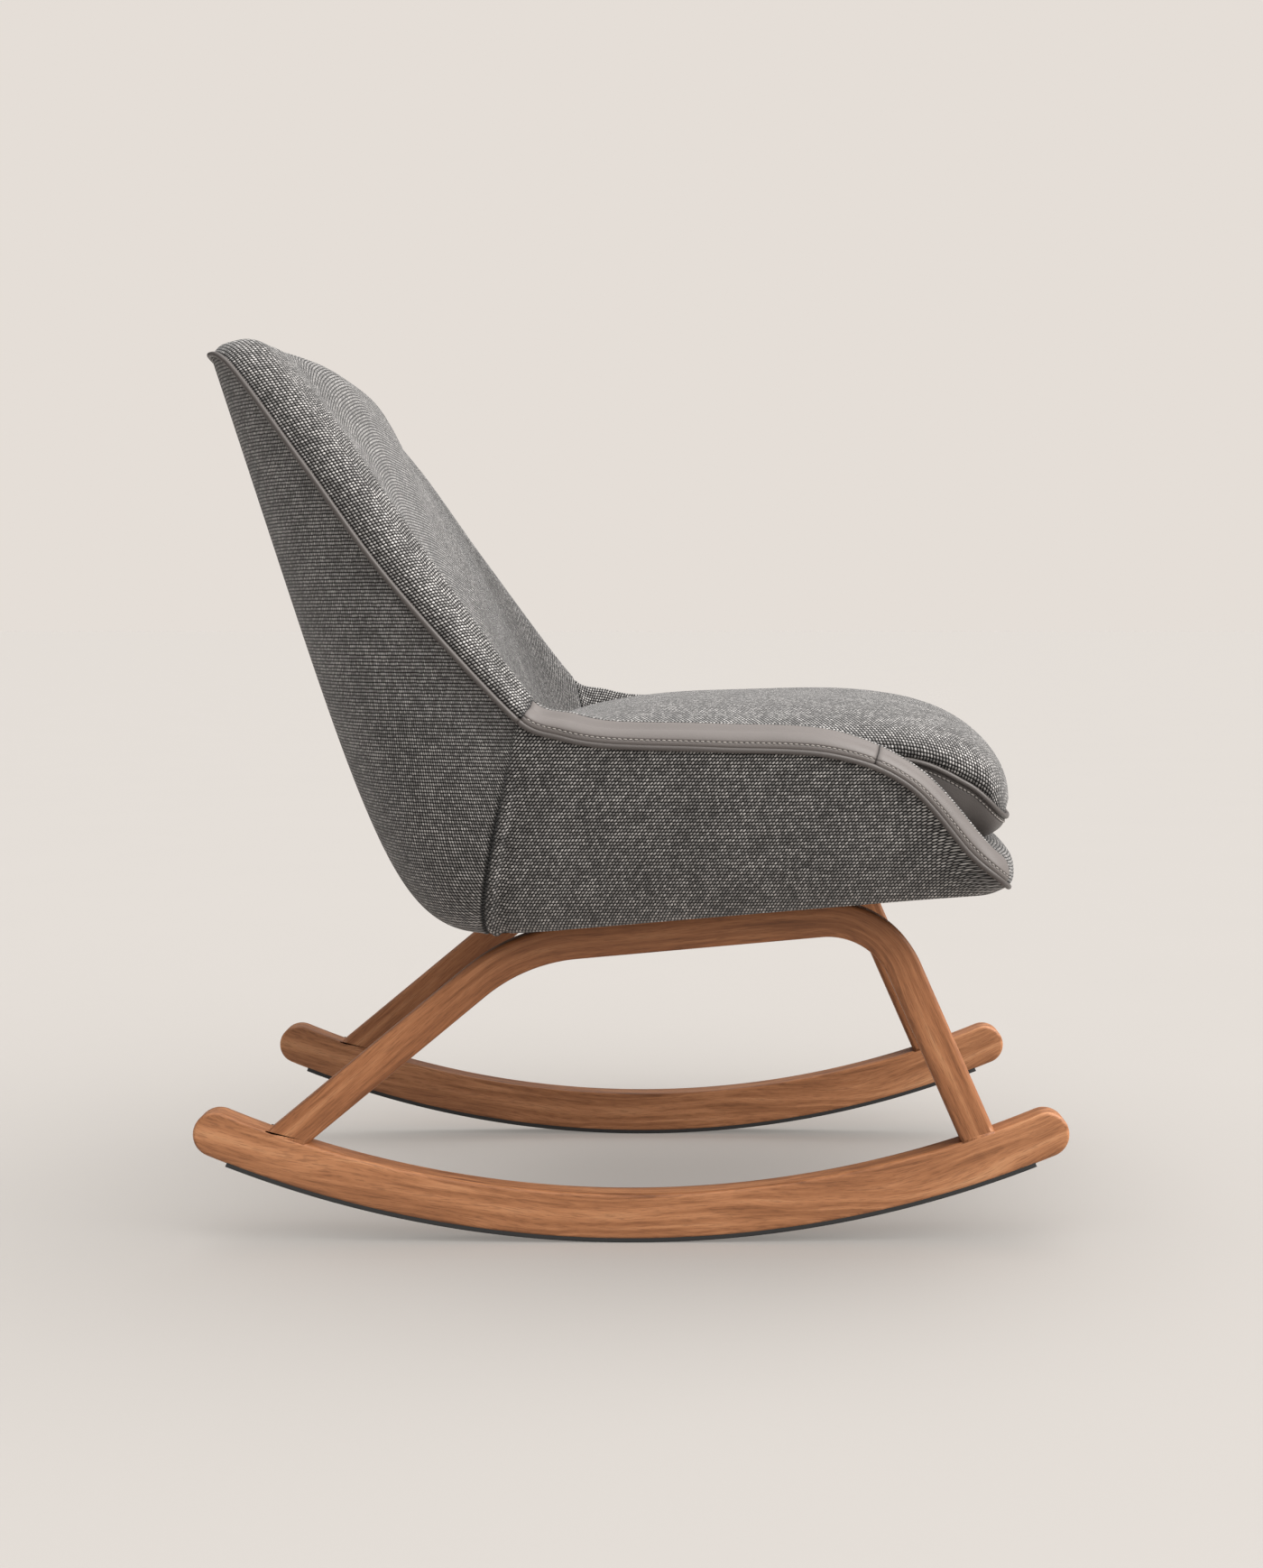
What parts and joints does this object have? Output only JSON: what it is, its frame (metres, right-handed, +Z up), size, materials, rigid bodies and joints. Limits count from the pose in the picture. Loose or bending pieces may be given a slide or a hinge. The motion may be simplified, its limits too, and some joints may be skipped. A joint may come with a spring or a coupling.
{
  "type": "rocking chair",
  "caption": "Upholstered lounge rocking chair: a wrapped tweed shell with leather-banded arms and a loose seat cushion on bent wood leg frames and curved wood rockers.",
  "frame": {"origin": "on the floor under the middle of the rockers, in the chair's middle plane", "axes": "+X to the front, the way the sitter faces; +Y to the sitter's left; +Z up"},
  "size_m": [0.7803, 0.6892, 0.8063],
  "materials": {
    "walnut": "oiled, satin, grain along the bend",
    "rubber_strip": "matt black",
    "dowel_beech": "raw beech",
    "zinc_steel": "zinc plated",
    "moulded_ply": "moulded plywood, unfinished",
    "black_cloth": "matt non-woven cloth",
    "foam": "polyurethane foam, hidden",
    "tweed": "grey basket-weave tweed with light and dark flecks",
    "leather": "taupe grey, satin",
    "zip_tape": "nylon coil zip"
  },
  "bodies": {
    "chair": {"rocker_left": "walnut", "rocker_right": "walnut", "glide_strip_left": "rubber_strip", "glide_strip_right": "rubber_strip", "leg_frame_left": "walnut", "leg_frame_right": "walnut", "cross_rail_front": "walnut", "cross_rail_rear": "walnut", "foot_dowels": "dowel_beech", "rail_dowels": "dowel_beech", "shell_bolts": "zinc_steel", "bolt_washers": "zinc_steel", "tee_nuts": "zinc_steel", "structural_shell": "moulded_ply", "dust_cover": "black_cloth", "seat_deck_foam": "foam", "deck_cover": "black_cloth", "back_foam": "foam", "arm_foam_left": "foam", "arm_foam_right": "foam", "front_roll_foam": "foam", "outer_cover_back": "tweed", "outer_cover_left": "tweed", "outer_cover_right": "tweed", "inner_cover_back": "tweed", "inner_cover_left": "tweed", "inner_cover_right": "tweed", "front_roll_cover": "tweed", "arm_band_rear_left": "leather", "arm_band_rear_right": "leather", "arm_band_front_left": "leather", "arm_band_front_right": "leather", "back_piping": "leather", "arm_bead_left": "leather", "arm_bead_right": "leather"},
    "seat_cushion": {"cushion_foam": "foam", "cushion_top_cover": "tweed", "cushion_lower_cover": "leather", "cushion_piping": "leather", "cushion_zip": "zip_tape"}
  },
  "joints": [
    {"name": "seat_cushion_lift", "type": "slide", "parent": "chair", "child": "seat_cushion", "axis": [0.5, 0, 0.866], "range_m": [0, 0.32]}
  ]
}
